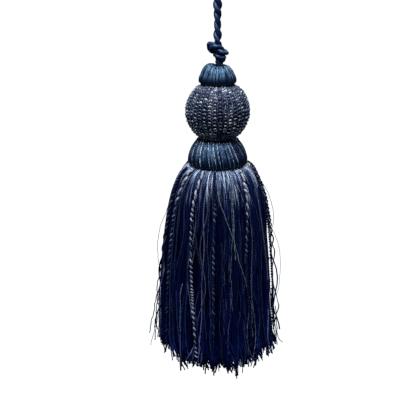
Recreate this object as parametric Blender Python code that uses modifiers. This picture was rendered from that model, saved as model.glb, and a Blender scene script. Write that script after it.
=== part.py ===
"""Key tassel: a stitched ball between two wound ruffs, over a full cut skirt, hung from a knotted cord.

+Z is up and the origin is the inside top of the hanging loop, where a key, knob or hook bears.
Named sizes and tables are in millimetres. Heights are measured from the middle of the ball.
Azimuths are in degrees from the front (-Y), towards +X.
"""
from collections import namedtuple
from math import atan2, cos, pi, radians, sin, sqrt, tau

import bmesh
import bpy
import numpy as np
from mathutils import Vector

MM = 0.001

# Driving dimensions.
GAP = 0.3                # left between pieces that touch
LOOP_TOP = 100.0         # inside top of the loop, above the middle of the ball
PLY_D = 2.0              # satin cord that the loop is made of
CORD_D = 3.8             # the loop's two legs twisted round each other
CORD_TOP = 68.5          # where the legs part
KNOT_TOP = 35.3
KNOT_MIDDLE = 29.2
KNOT_STRAND_D = 3.2      # the twisted cord, pulled flat where the knot is tight
KNOT_CORE_R = 2.8
LOOP_ARCH_R = 4.0        # of the middle of the cord round the top of the loop
BALL_R = 16.4
BALL_TOP = 15.6          # the ball is a little flat where the top ruff presses on it
BALL_ROWS = 37           # upright rows of chain stitch round the ball
ROW_DEPTH = 0.55         # of the grooves between the rows
DISH_GAP = GAP + 0.1     # the ruffs are dished to sit over the ball
DIMPLE_R = 2.7           # where the cord comes out of the top ruff
DIMPLE_FLOOR = 21.6
LOCKS = 36               # tufts that the skirt falls into
LOCK_TIP = -126.5
NOTCH = 5.0              # how far the gaps between tufts run up from their tips
FRINGE_CORD_D = 1.7
CORD_CLEARANCE = 0.35    # from the tufts' crests to a fringe cord

Profile = namedtuple("Profile", "height radius")
TOP_RUFF = (
    Profile(22.8, 3.6),
    Profile(22.85, 4.3),
    Profile(22.1, 6.0),
    Profile(20.3, 7.6),
    Profile(18.3, 8.55),
    Profile(16.5, 9.3),
    Profile(15.2, 9.5),
    Profile(13.9, 9.35),
)
NECK_RUFF = (
    Profile(-14.3, 10.3),
    Profile(-15.5, 11.0),
    Profile(-17.5, 12.5),
    Profile(-20.0, 13.8),
    Profile(-22.7, 14.65),
    Profile(-25.2, 15.0),
    Profile(-26.6, 14.75),
    Profile(-27.2, 13.9),
)

# The skirt: radius at the tufts' crests, and how deep the valleys between them are.
Section = namedtuple("Section", "height radius valley")
SKIRT = (
    Section(-27.5, 13.4, 0.0),
    Section(-28.7, 16.0, 0.1),
    Section(-30.6, 18.2, 0.2),
    Section(-34.0, 20.2, 0.3),
    Section(-38.6, 22.2, 0.4),
    Section(-44.3, 23.9, 0.5),
    Section(-52.6, 25.5, 0.7),
    Section(-64.1, 27.1, 0.9),
    Section(-79.1, 28.6, 1.1),
    Section(-94.3, 29.9, 1.3),
    Section(-108.6, 30.7, 1.6),
    Section(-119.0, 31.1, 1.9),
)
HEM_R = 31.3             # the tufts' tips

# The skirt hangs in on its right side, where a cord stands off it: height, and how far in.
Hollow = namedtuple("Hollow", "height depth")
HOLLOW = (
    Hollow(-46.0, 0.0),
    Hollow(-55.0, 1.2),
    Hollow(-64.1, 2.3),
    Hollow(-79.1, 2.6),
    Hollow(-94.3, 3.0),
    Hollow(-108.6, 2.9),
    Hollow(-119.0, 2.2),
    Hollow(-127.0, 0.4),
)
HOLLOW_AZIMUTH = 92.0
HOLLOW_REACH = 42.0      # degrees to each side
UNDERSIDE_R = 26.0       # the underside is cut nearly level inside this
UNDERSIDE_HEIGHT = -123.0

# The knot's route, from its top down to the ruff: x to the right, y to the back, z above KNOT_MIDDLE.
KnotPoint = namedtuple("KnotPoint", "x y z")
KNOT_ROUTE = (
    KnotPoint(0.0, 0.0, 6.1),
    KnotPoint(0.0, 0.0, 5.3),
    KnotPoint(0.2, 0.3, 3.6),
    KnotPoint(1.0, 0.5, 1.7),
    KnotPoint(2.5, 0.3, 0.3),
    KnotPoint(3.6, -0.5, -0.7),
    KnotPoint(3.2, -1.9, 0.0),
    KnotPoint(1.2, -2.7, 1.7),
    KnotPoint(-1.4, -2.6, 3.1),
    KnotPoint(-3.3, -1.2, 3.4),
    KnotPoint(-3.6, 0.6, 2.6),
    KnotPoint(-2.8, 1.9, 0.9),
    KnotPoint(-0.9, 2.6, -0.4),
    KnotPoint(1.5, 2.3, -1.7),
    KnotPoint(2.9, 0.8, -3.1),
    KnotPoint(2.6, -1.0, -3.2),
    KnotPoint(1.0, -1.9, -1.9),
    KnotPoint(-0.5, -1.6, -0.6),
    KnotPoint(-0.7, -0.2, -0.6),
    KnotPoint(0.3, 0.5, -2.1),
    KnotPoint(0.9, 0.4, -3.7),
    KnotPoint(0.8, 0.1, -5.1),
    KnotPoint(0.6, 0.0, -6.3),
    KnotPoint(0.6, 0.0, -7.1),
)

# One leg of the loop: x from the axis, and height above the top of the twisted cord.
LegPoint = namedtuple("LegPoint", "x above")
LOOP_LEG = (
    LegPoint((PLY_D + GAP) / 2, 0.0),
    LegPoint((PLY_D + GAP) / 2 + 0.1, 2.5),
    LegPoint(2.3, 12.0),
    LegPoint(3.6, 21.0),
)

# Silver and navy cords that hang in the skirt: azimuth at four heights, and where each one ends.
FringeCord = namedtuple("FringeCord", "start shoulder middle low end")
CORD_HEIGHTS = (-27.2, -45.0, -71.0, -122.0)
FRINGE_CORDS = (
    FringeCord(-24, -29, -27, -19, -121),
    FringeCord(-5, -3, -4, -3, -115),
    FringeCord(41, 36, 30, 33, -117),
    FringeCord(76, 79, 78, 74, -115),
    FringeCord(112, 110, 108, 111, -120),
    FringeCord(128, 131, 134, 131, -117),
    FringeCord(158, 154, 152, 157, -121),
    FringeCord(177, 184, 188, 183, -116),
    FringeCord(214, 211, 207, 210, -119),
    FringeCord(236, 240, 243, 240, -117),
    FringeCord(293, 291.5, 286.5, 284, -116),
    FringeCord(311, 304, 303, 304, -120),
)

# Colour, roughness and metallic value of each finish.
NAVY_SATIN = ("navy_satin", (0.030, 0.060, 0.135), 0.35, 0.0)
NAVY_FLOSS = ("navy_floss", (0.028, 0.045, 0.085), 0.42, 0.0)
NAVY_THREAD = ("navy_thread", (0.010, 0.014, 0.045), 0.48, 0.0)
SILVER_CHAIN = ("silver_and_navy_chain", (0.085, 0.100, 0.140), 0.45, 0.3)
SILVER_TWIST = ("silver_and_navy_twist", (0.200, 0.220, 0.280), 0.40, 0.3)


def make_material(finish):
    """A Principled material from a name, colour, roughness and metallic value."""
    name, colour, roughness, metallic = finish
    material = bpy.data.materials.get(name) or bpy.data.materials.new(name)
    material.use_nodes = True
    shader = material.node_tree.nodes["Principled BSDF"]
    shader.inputs["Base Color"].default_value = (*colour, 1.0)
    shader.inputs["Roughness"].default_value = roughness
    shader.inputs["Metallic"].default_value = metallic
    return material


def add_object(name, data, finish, collection, parent):
    """An object in the collection, under parent, with one material."""
    made = bpy.data.objects.new(name, data)
    collection.objects.link(made)
    made.parent = parent
    data.materials.append(make_material(finish))
    return made


def on_azimuth(azimuth, radius, height):
    """The point at that azimuth in radians, radius and height, in metres from the middle of the ball."""
    return Vector((radius * sin(azimuth), -radius * cos(azimuth), height)) * MM


def smooth_line(route, step):
    """Points about step apart along a Catmull-Rom curve through the route's own points."""
    points = [Vector(p) for p in route]
    padded = [2 * points[0] - points[1], *points, 2 * points[-1] - points[-2]]
    line = []
    for a, b, c, d in zip(padded, padded[1:], padded[2:], padded[3:]):
        count = max(1, round((c - b).length / step))
        for i in range(count):
            t = i / count
            cubic = (3 * b - a - 3 * c + d) * t ** 3
            square = (2 * a - 5 * b + 4 * c - d) * t ** 2
            line.append(0.5 * (2 * b + (c - a) * t + square + cubic))
    return [*line, points[-1]]


def make_tube(name, line, diameter, finish, collection, parent):
    """A round tube with closed ends along a line of points in metres."""
    curve = bpy.data.curves.new(name, "CURVE")
    curve.dimensions = "3D"
    curve.bevel_depth = diameter / 2 * MM
    curve.bevel_resolution = 2
    curve.use_fill_caps = True
    spline = curve.splines.new("POLY")
    spline.points.add(len(line) - 1)
    for point, place in zip(spline.points, line):
        point.co = (*place, 1.0)
    return add_object(name, curve, finish, collection, parent)


def make_turned(name, outline, steps, finish, collection, parent):
    """A turned solid from its outline, axis to axis, top to bottom down its outer side."""
    mesh = bpy.data.meshes.new(name)
    points = [(p.radius * MM, 0.0, p.height * MM) for p in outline]
    mesh.from_pydata(points, [(i, i + 1) for i in range(len(points) - 1)], [])
    made = add_object(name, mesh, finish, collection, parent)
    screw = made.modifiers.new("turned", "SCREW")
    screw.steps = steps
    screw.render_steps = steps
    screw.use_merge_vertices = True
    screw.merge_threshold = 0.00001
    screw.use_smooth_shade = True
    return made


def dish(pole, radii):
    """Profile points just clear of the ball at those radii, where its pole is at that height."""
    reach = pole + DISH_GAP
    widest = BALL_R + DISH_GAP
    return [Profile(reach * sqrt(1 - (radius / widest) ** 2), radius) for radius in radii]


def make_top_ruff(collection, parent):
    """The bun of floss over the top of the ball, with the dimple that the cord comes out of."""
    dimple = [Profile(DIMPLE_FLOOR, 0.0), Profile(DIMPLE_FLOOR, DIMPLE_R)]
    outline = [*dimple, *TOP_RUFF, *dish(BALL_TOP, (9.05, 6.2, 3.1, 0.0))]
    return make_turned("top_ruff", outline, 40, NAVY_FLOSS, collection, parent)


def make_neck_ruff(collection, parent):
    """The larger bun of floss between the ball and the skirt."""
    seat = [Profile(-p.height, p.radius) for p in dish(BALL_R, (0.0, 3.4, 6.8, 9.9))]
    outline = [*seat, *NECK_RUFF, Profile(NECK_RUFF[-1].height, 0.0)]
    return make_turned("neck_ruff", outline, 48, NAVY_FLOSS, collection, parent)


def make_ball(collection, parent):
    """The ball, ribbed by its upright rows of stitches, which run together at its poles."""
    mesh = bpy.data.meshes.new("ball")
    shape = bmesh.new()
    columns = 2 * BALL_ROWS
    bmesh.ops.create_uvsphere(shape, u_segments=columns, v_segments=12, radius=BALL_R * MM)
    for vertex in shape.verts:
        column = round(atan2(vertex.co.y, vertex.co.x) / tau * columns)
        if column % 2:
            vertex.co.xy *= 1 - ROW_DEPTH / BALL_R
        if vertex.co.z > 0:
            vertex.co.z *= BALL_TOP / BALL_R
    shape.to_mesh(mesh)
    shape.free()
    mesh.shade_smooth()
    mesh.set_sharp_from_angle(angle=radians(25))
    return add_object("ball", mesh, SILVER_CHAIN, collection, parent)


def tip_height(column):
    """Where the skirt's edge is at a column: a tuft's tip, or a notch between two tufts."""
    uneven = 1.6 * sin(2.1 * column) + 1.1 * sin(5.3 * column + 1.0)
    return LOCK_TIP + uneven + (NOTCH if column % 2 else 0.0)


def hangs_in(column, height):
    """How far in the skirt hangs at a column and a height."""
    aside = min(abs(180.0 * column / LOCKS - HOLLOW_AZIMUTH), HOLLOW_REACH)
    depth = np.interp(-height, [-h.height for h in HOLLOW], [h.depth for h in HOLLOW])
    return depth * (0.5 + 0.5 * cos(pi * aside / HOLLOW_REACH))


def skirt_outline(column):
    """Radius and height down one column of the skirt, then in under it: even columns are crests."""
    sunk = column % 2
    outline = [Profile(s.height, s.radius - s.valley * sunk) for s in SKIRT]
    outline.append(Profile(tip_height(column), HEM_R - SKIRT[-1].valley * sunk))
    outline.append(Profile(UNDERSIDE_HEIGHT, UNDERSIDE_R))
    return [Profile(p.height, p.radius - hangs_in(column, p.height)) for p in outline]


def make_skirt(collection, parent):
    """The cut skirt: a full bell of thread that falls into tufts, toothed along its lower edge."""
    mesh = bpy.data.meshes.new("skirt")
    shape = bmesh.new()
    columns = []
    for number in range(2 * LOCKS):
        azimuth = pi * number / LOCKS
        outline = skirt_outline(number)
        columns.append([shape.verts.new(on_azimuth(azimuth, p.radius, p.height)) for p in outline])
    for column, after in zip(columns, columns[1:] + columns[:1]):
        for i in range(len(column) - 1):
            shape.faces.new((column[i], column[i + 1], after[i + 1], after[i]))
    shape.faces.new([column[0] for column in columns])
    shape.faces.new([column[-1] for column in reversed(columns)])
    bmesh.ops.recalc_face_normals(shape, faces=shape.faces)
    shape.to_mesh(mesh)
    shape.free()
    mesh.shade_smooth()
    mesh.set_sharp_from_angle(angle=radians(40))
    return add_object("skirt", mesh, NAVY_THREAD, collection, parent)


def clear_of_skirt():
    """The profile that a fringe cord's middle follows: the tufts' crests, moved out by its radius."""
    stand_off = FRINGE_CORD_D / 2 + CORD_CLEARANCE
    crests = [Vector((s.radius, s.height)) for s in SKIRT]
    crests.append(Vector((HEM_R, LOCK_TIP)))
    line = []
    for before, here, after in zip(crests, crests[1:], crests[2:]):
        along = ((here - before).normalized() + (after - here).normalized()).normalized()
        line.append(here + Vector((-along.y, along.x)) * stand_off)
    line.append(crests[-1] + Vector((stand_off, 0.0)))
    return line


def fringe_cord_route(cord):
    """Points along one cord, from under the neck ruff's edge down to its cut end, in metres."""
    profile = clear_of_skirt()
    azimuths = (cord.start, cord.shoulder, cord.middle, cord.low)
    drift = smooth_line([(turn, height, 0.0) for turn, height in zip(azimuths, CORD_HEIGHTS)], 2.0)
    stops = [p.y for p in profile if p.y > cord.end + 3.0] + [cord.end]
    route = []
    for height in stops:
        turn = np.interp(-height, [-p.y for p in drift], [p.x for p in drift])
        radius = np.interp(-height, [-p.y for p in profile], [p.x for p in profile])
        route.append(on_azimuth(radians(turn), radius, height))
    return route


def make_fringe_cords(collection, parent):
    """The silver and navy twisted cords that hang over the skirt."""
    for number, cord in enumerate(FRINGE_CORDS, 1):
        line = smooth_line(fringe_cord_route(cord), 5.6 * MM)
        name = f"fringe_cord_{number:02d}"
        make_tube(name, line, FRINGE_CORD_D, SILVER_TWIST, collection, parent)


def make_hanging_cord(collection, parent):
    """The two legs of the loop, twisted into one cord, from the knot up to where they part."""
    ends = [Vector((0, 0, KNOT_TOP + GAP)) * MM, Vector((0, 0, CORD_TOP)) * MM]
    line = smooth_line(ends, 8.0 * MM)
    return make_tube("hanging_cord", line, CORD_D, NAVY_SATIN, collection, parent)


def make_hanging_loop(collection, parent):
    """The eye that the tassel hangs by: one satin cord over a round top, down to the twist."""
    arch_middle = LOOP_TOP + PLY_D / 2 - LOOP_ARCH_R
    leg = [(p.x, CORD_TOP + GAP + p.above) for p in LOOP_LEG]
    arch = [
        (LOOP_ARCH_R * cos(pi * i / 6), arch_middle + LOOP_ARCH_R * sin(pi * i / 6))
        for i in range(7)
    ]
    route = [*leg, *arch, *[(-x, z) for x, z in reversed(leg)]]
    line = smooth_line([Vector((x, 0, z)) * MM for x, z in route], 2.5 * MM)
    return make_tube("hanging_loop", line, PLY_D, NAVY_SATIN, collection, parent)


def mesh_from_curve(tube, name):
    """A mesh object in place of a curve object, with its end caps welded on."""
    evaluated = tube.evaluated_get(bpy.context.evaluated_depsgraph_get())
    mesh = bpy.data.meshes.new_from_object(evaluated)
    shape = bmesh.new()
    shape.from_mesh(mesh)
    bmesh.ops.remove_doubles(shape, verts=shape.verts, dist=0.00001)
    shape.to_mesh(mesh)
    shape.free()
    made = bpy.data.objects.new(name, mesh)
    made.matrix_world = tube.matrix_world
    curve = tube.data
    bpy.data.objects.remove(tube)
    bpy.data.curves.remove(curve)
    return made


def make_knot_core(cutters, parent):
    """The middle of the knot, which fills the space that its strands close."""
    mesh = bpy.data.meshes.new("knot_core")
    shape = bmesh.new()
    bmesh.ops.create_icosphere(shape, subdivisions=2, radius=KNOT_CORE_R * MM)
    shape.to_mesh(mesh)
    shape.free()
    core = add_object("knot_core", mesh, NAVY_SATIN, cutters, parent)
    core.location = Vector((0.6, 0.0, KNOT_MIDDLE - 0.6)) * MM
    core.hide_render = True
    core.display_type = "WIRE"
    return core


def make_knot(collection, cutters, parent):
    """An overhand knot pulled tight: one cord over itself, joined where it bears on itself."""
    route = [Vector((p.x, p.y, p.z + KNOT_MIDDLE)) * MM for p in KNOT_ROUTE]
    line = smooth_line(route, 1.6 * MM)
    tube = make_tube("knot_strand", line, KNOT_STRAND_D, NAVY_SATIN, collection, parent)
    bpy.context.view_layer.update()
    knot = mesh_from_curve(tube, "knot")
    collection.objects.link(knot)
    joined = knot.modifiers.new("joined", "BOOLEAN")
    joined.operation = "UNION"
    joined.solver = "EXACT"
    joined.use_self = True
    joined.object = make_knot_core(cutters, parent)
    return knot


def start_collections():
    """Empties the scene, and gives the collection of parts and the one of cutters."""
    for old in list(bpy.data.objects):
        bpy.data.objects.remove(old)
    made = []
    for name in ("tassel", "cutters"):
        collection = bpy.data.collections.get(name) or bpy.data.collections.new(name)
        if name not in bpy.context.scene.collection.children:
            bpy.context.scene.collection.children.link(collection)
        made.append(collection)
    return made


def main():
    parts, cutters = start_collections()
    ball_middle = bpy.data.objects.new("ball_middle", None)
    parts.objects.link(ball_middle)
    ball_middle.location = (0.0, 0.0, -LOOP_TOP * MM)
    bpy.context.view_layer.update()
    make_hanging_loop(parts, ball_middle)
    make_hanging_cord(parts, ball_middle)
    make_knot(parts, cutters, ball_middle)
    make_top_ruff(parts, ball_middle)
    make_ball(parts, ball_middle)
    make_neck_ruff(parts, ball_middle)
    make_skirt(parts, ball_middle)
    make_fringe_cords(parts, ball_middle)


main()
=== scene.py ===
"""Key tassel: a twisted cord with a knot, two wound ruffs, a stitched ball and a cut skirt with fringe cords.

The origin is the inside top of the hanging loop and +Z is up. Tables are in millimetres, and heights in them
are measured from the middle of the ball. Azimuths are in degrees from the front (-Y), towards +X.
"""
from collections import namedtuple
from math import cos, pi, radians, sin, tau

import bpy
import numpy as np
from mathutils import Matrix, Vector


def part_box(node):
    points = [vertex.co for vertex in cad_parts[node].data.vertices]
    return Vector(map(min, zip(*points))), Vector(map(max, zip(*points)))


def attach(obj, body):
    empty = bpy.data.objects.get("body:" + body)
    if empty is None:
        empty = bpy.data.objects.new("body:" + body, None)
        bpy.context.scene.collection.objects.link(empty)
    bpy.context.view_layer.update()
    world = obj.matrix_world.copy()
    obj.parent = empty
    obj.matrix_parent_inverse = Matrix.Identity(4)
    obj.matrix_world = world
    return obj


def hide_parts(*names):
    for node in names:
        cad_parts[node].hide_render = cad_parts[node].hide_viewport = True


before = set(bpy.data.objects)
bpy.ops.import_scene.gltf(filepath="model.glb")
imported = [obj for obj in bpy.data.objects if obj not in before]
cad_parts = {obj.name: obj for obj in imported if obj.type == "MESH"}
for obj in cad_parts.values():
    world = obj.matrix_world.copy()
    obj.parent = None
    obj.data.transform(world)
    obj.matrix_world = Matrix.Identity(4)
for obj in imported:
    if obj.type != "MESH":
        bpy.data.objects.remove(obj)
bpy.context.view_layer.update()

MM = 0.001
ball_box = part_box("ball")
BALL_MIDDLE = (np.array(ball_box[0]) + np.array(ball_box[1])) / 2

# Driving sizes, as the solids have them.
GAP = 0.3
CORD_TOP = 68.5
KNOT_TOP = 35.3
KNOT_MIDDLE = 29.2
PLY_D = 2.0
LOOP_TOP = 100.0
LOOP_ARCH_R = 4.0
BALL_R = 16.4
BALL_TOP = 15.6
BALL_ROWS = 37
BALL_GROUND_R = 15.15
FRINGE_CORD_D = 1.7
CORD_CLEARANCE = 0.35
HEM_R = 31.3
TUFT_TIP = -126.5

CAMERA_TILT = 17.0
CAMERA_DISTANCE = 0.5
CAMERA_AIM = -51.0
CAMERA_SHIFT = -0.0231
VIEW_WIDTH = 214.4

FLOOR_R = 30.0
FLOOR_HEIGHT = -0.75

FLOOR_SUN = 3.5

# Area lights: name, place from the tassel's middle in metres, width, height and watts.
SOFT_BOXES = (
    ("key", (-0.06, -0.34, 1.05), 0.85, 0.75, 29.0),
    ("fill", (-0.5, -1.5, 0.35), 1.0, 1.0, 0.75),
    ("back", (0.35, 1.4, 0.55), 1.0, 0.8, 7.0),
)

# A strand counts its millimetres on from its number times the step. Numbers start again after that many.
NUMBER_STEP = 200.0
NUMBERS = 50

# Outlines of the wound and hung surfaces, and of what is packed under them: height and radius.
TOP_RUFF = (
    (21.3, 2.7), (22.1, 3), (22.75, 3.7), (22.7, 4.5), (21.95, 6), (20.3, 7.5),
    (18.3, 8.5), (16.5, 9.25), (15.2, 9.45), (14.3, 9.3), (13.7, 8.8),
)
TOP_RUFF_CORE = (
    (21.2, 0), (21.2, 2.9), (21.9, 4.4), (21, 5.9), (19.5, 7.2), (17.7, 8), (16, 8.6), (14.9, 8.7),
    (14.4, 8.2), (15.9, 0),
)
NECK_RUFF = (
    (-13.8, 9.6), (-14.5, 10.3), (-15.5, 10.9), (-17.5, 12.4), (-20, 13.7), (-22.7, 14.6), (-25.2, 14.95),
    (-26.6, 14.6), (-27.2, 13.6), (-27.3, 12),
)
NECK_RUFF_CORE = (
    (-15.2, 0), (-14.7, 9.3), (-16.2, 10.6), (-18, 11.9), (-20.3, 13), (-22.7, 13.8), (-25, 14.1),
    (-26.2, 13.7), (-26.8, 12.6), (-26.8, 0),
)
SKIRT = (
    (-27.8, 10), (-27.8, 13.2), (-28.8, 15.8), (-30.6, 18.2), (-34, 20.3), (-38.6, 22.3), (-44.3, 24),
    (-52.6, 25.6), (-64.1, 27.2), (-79.1, 28.7), (-94.3, 30), (-108.6, 30.8), (-119, 31.2),
    (-126.5, 31.4), (-136, 31.6),
)
SKIRT_CORE = (
    (-28, 0), (-28.4, 9.5), (-29.4, 12.5), (-32, 15.2), (-35.6, 17.4), (-40.4, 19.4), (-46.5, 20.9),
    (-54.5, 22.2), (-66, 23.6), (-81, 24.8), (-96, 25.8), (-109, 26.3), (-116, 25.8), (-117, 0),
)
# The crests of the tufts, which the fringe cords stand off.
CRESTS = (
    (-27.5, 13.4), (-28.7, 16), (-30.6, 18.2), (-34, 20.2), (-38.6, 22.2), (-44.3, 23.9), (-52.6, 25.5),
    (-64.1, 27.1), (-79.1, 28.6), (-94.3, 29.9), (-108.6, 30.7), (-119, 31.1),
)

# The skirt hangs in on its right side: height, and how far in.
HOLLOW = (
    (-46, 0), (-55, 1.2), (-64.1, 2.3), (-79.1, 2.6), (-94.3, 3), (-108.6, 2.9), (-119, 2.2), (-127, 0.4),
)
HOLLOW_AZIMUTH = 92.0
HOLLOW_REACH = 42.0

# How much shorter the skirt is cut round its hem: azimuth, and how much.
HEM_CUT = (
    (-180, 0), (-100, 1.4), (-75, 3.6), (-47, 3.4), (-37, -0.2), (0, -1.2),
    (36, -0.6), (52, 1.8), (72, 3.2), (100, 1.2), (180, 0),
)

# The knot's route: x to the right, y to the back, z above the knot's middle, from its top down.
KNOT_ROUTE = (
    (0, 0, 6.1), (0, 0, 5.3), (0.2, 0.3, 3.6), (1, 0.5, 1.7), (2.5, 0.3, 0.3), (3.6, -0.5, -0.7),
    (3.2, -1.9, 0), (1.2, -2.7, 1.7), (-1.4, -2.6, 3.1), (-3.3, -1.2, 3.4), (-3.6, 0.6, 2.6),
    (-2.8, 1.9, 0.9), (-0.9, 2.6, -0.4), (1.5, 2.3, -1.7), (2.9, 0.8, -3.1), (2.6, -1, -3.2),
    (1, -1.9, -1.9), (-0.5, -1.6, -0.6), (-0.7, -0.2, -0.6), (0.3, 0.5, -2.1), (0.9, 0.4, -3.7),
    (0.8, 0.1, -5.1), (0.6, 0, -6.3), (0.6, 0, -7.1),
)
KNOT_HALF_TURN = 5.0
LOOP_LEG = ((1.15, 0), (1.25, 2.5), (2.3, 12), (3.6, 21))

# Heights at which the two legs lie side by side in the twisted cord, half a turn apart.
HALF_TURNS = (68.5, 65, 61, 56.7, 52.1, 47.5, 42.5, 37.4)

# How full the twisted cord is at heights down to the knot, and how full its plies are near its end.
CORD_FULLNESS = (
    (54, 1.10), (50.5, 1.19), (47.5, 0.98), (45, 1.02), (42.5, 0.90), (39.9, 1.02), (37.4, 1.10), (35, 1),
)
END_SWELL = ((0, 1, 2.4, 4), (1, 1.30, 1.45, 1))

# Fringe cords: azimuths at the four heights, the end, the lay, how bright the silver is at the shoulder, at
# the waist and lower down, in part painted light and shade, and how far the plies come apart.
FringeCord = namedtuple("FringeCord", "start shoulder middle low end lay bright waist hem loose")
CORD_HEIGHTS = (-27.2, -45, -71, -122)
FRINGE_CORDS = [FringeCord(*cord) for cord in (
    (-24, -29, -27, -19, -121, -1, 0.95, 0.80, 0.90, 0),
    (-5, -3, -4, -3, -115, -1, 0.05, 0.48, 0.32, 0),
    (41, 36, 30, 33, -117, -1, 0.95, 0.60, 0.06, 0),
    (76, 79, 78, 74, -115, -1, 0.45, 0.40, 0.20, 1),
    (112, 110, 108, 111, -120, 1, 0.60, 0.40, 0.30, 0),
    (128, 131, 134, 131, -117, -1, 0.50, 0.40, 0.10, 0.4),
    (158, 154, 152, 157, -121, 1, 0.90, 0.70, 0.45, 0),
    (177, 184, 188, 183, -116, -1, 0.20, 0.50, 0.15, 0),
    (214, 211, 207, 210, -119, 1, 0.80, 0.50, 0.25, 0),
    (236, 240, 243, 240, -117, -1, 0.60, 0.40, 0.25, 0.5),
    (293, 291.5, 286.5, 284, -116, 1, 0.10, 0.60, 0.55, 1),
    (311, 304, 303, 304, -120, 1, 0.95, 0.60, 0.30, 0),
)]

# Azimuths of the silver speckled threads in front on the neck ruff.
SPECKLED = (-62, -47, -38, -19, -12.5, -6, 3, 9, 22, 31, 41)

# One leg of the ball's loop stitch: across in row spacings, up and out in millimetres.
STITCH_LEG = (
    (-0.15, -1.3, -0.62), (-0.22, -0.8, -0.42), (-0.26, -0.32, -0.22), (-0.22, 0.1, -0.05),
    (-0.09, 0.31, 0.02),
)
# A longer float of yarn that lies over the stitches of its row.
FLOAT = ((0.02, 0.6, -0.5), (0.05, -0.2, 0.02), (-0.04, -2.2, 0.08), (0.04, -4.2, 0.04), (0, -5.4, -0.5))
STITCH_PITCH = 1.72

# How far inside the ball's radius the stitches lie, and the yarn between their rows.
STITCH_SUNK = 0.42
LADDER_SUNK = 0.70

# Angles down from the ball's pole between which it is stitched, and where painted light raises its yarn's
# tone, as if thrown up onto its lower half from below.
STITCHED_FROM = 24.0
STITCHED_TO = 152.0
BALL_PAINTED_BOUNCE = ((95, 120, 132, 145), (0, 0.42, 0.36, 0))

# Neighbouring threads of the skirt that stay together down to the hem and end in one point.
FINGER = 5

# The threads inside the skirt: how far out they lie, and the heights between which they hang.
INSIDE_R = 27.5
INSIDE_TOP = -98.0
INSIDE_TIP = -125.5

# Single paler threads: azimuths and heights, half a width, tone, and how far in each one starts.
PaleThread = namedtuple("PaleThread", "points half tone sunk", defaults=(0.19, 0.35, 3))
PALE_THREADS = (
    PaleThread(((-39.4, -84), (-37.6, -98), (-36.4, -120), (-35.6, -130)), 0.26, 0.85, 3),
    PaleThread(((-1.8, -29), (1.5, -38.7), (7.2, -47), (15.5, -57.5), (20.5, -67.8), (32.5, -91.5),
        (34, -112)), 0.22, 0.95, 0),
    PaleThread(((22.5, -29), (18.5, -40), (17.4, -57.6), (18, -70)), 0.25, 1, 0),
    PaleThread(((20.5, -28.8), (16.6, -40), (15.6, -57), (13, -75), (14, -96)), 0.2, 0.85, 0),
    PaleThread(((-13, -28.8), (-9.5, -44), (-10.5, -60), (-8, -82), (-6, -104)), 0.19, 0.6, 0),
    PaleThread(((-30, -50), (-20, -66), (-14, -86), (-10, -112)), 0.19, 0.45, 3),
    PaleThread(((26, -50), (24, -72), (27, -100), (30, -122))),
    PaleThread(((4, -60), (5, -78), (2, -100), (5, -124))),
    PaleThread(((48, -40), (52, -62), (47, -88), (50, -118))),
    PaleThread(((-52, -36), (-47, -58), (-50, -84), (-44, -120))),
    PaleThread(((120, -34), (124, -60), (118, -90), (122, -121))),
    PaleThread(((168, -34), (163, -58), (170, -84), (166, -118))),
    PaleThread(((205, -40), (199, -66), (203, -94), (196, -124))),
    PaleThread(((250, -34), (256, -62), (249, -92), (255, -120))),
)

# Threads and hairs that stand off the skirt: half a width, then azimuths, heights and how far out.
FLYAWAYS = (
    (0.14, ((90, -36, 0.5), (90, -39.2, 1.3), (90, -44, 2.5), (90, -50, 2.9), (90, -54.8, 3),
        (90, -58.6, 2.4), (89, -63, 0.6))),
    (0.12, ((88, -60, 0), (90, -65.7, 2.5), (90, -71.2, 3.8), (90, -79.5, 4.2), (90, -86, 3.5),
        (90, -93.5, 2.5), (90, -99, 1))),
    (0.22, ((84, -104, 0), (88, -112, 0.4), (90, -120.5, 0.6), (90, -124.6, 1.9), (90, -126.4, 3.4))),
    (0.25, ((84, -94, -1.5), (87, -102, -1.6), (89, -110, -0.9), (90, -119, -0.1), (90, -128, 0.7))),
    (0.30, ((80, -72, -2.2), (88, -79, -2.2), (90, -85, -2.5), (90, -96, -2.3), (90, -106, -1.8),
        (90, -114, -1.4), (90, -123, -0.6))),
    (0.14, ((-90, -50, 0.3), (-90, -53.7, 1.1), (-90, -61.8, 3), (-90, -68, 3.3), (-90, -73.9, 3.2),
        (-90, -80.6, 2), (-88, -86, 0.3))),
    (0.26, ((-87, -76, 0.3), (-90, -84, 1), (-90, -93.5, 1.8), (-90, -102, 2.3), (-90, -110.7, 3.6),
        (-90, -121, 5.5))),
    (0.26, ((-88, -86, 0.2), (-90, -93.5, 0.5), (-90, -102, 1.2), (-90, -112.4, 2.2), (-90, -125.2, 2.3))),
    (0.16, ((-88, -100, 0.1), (-90, -114.7, 1.4), (-90, -124.1, 3.9), (-90, -128.2, 4.4))),
    (0.12, ((150, -40, 0.3), (158, -56, 3), (154, -74, 2.4), (150, -86, 0.4))),
    (0.20, ((215, -90, 0.4), (222, -104, 2.6), (218, -122, 5))),
    (0.24, ((172, -84, 0.2), (176, -100, 1.6), (173, -125, 3))),
)

# ---- finishes

class Wire:
    """A socket in a finish's node tree. Sums on wires add the nodes that work them out."""

    def __init__(self, finish, socket):
        self.finish = finish
        self.socket = socket

    def __add__(self, other):
        return self.finish.maths("ADD", self, other)

    def __sub__(self, other):
        return self.finish.maths("SUBTRACT", self, other)

    def __rsub__(self, other):
        return self.finish.maths("SUBTRACT", other, self)

    def __mul__(self, other):
        return self.finish.maths("MULTIPLY", self, other)

    __radd__ = __add__
    __rmul__ = __mul__


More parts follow.
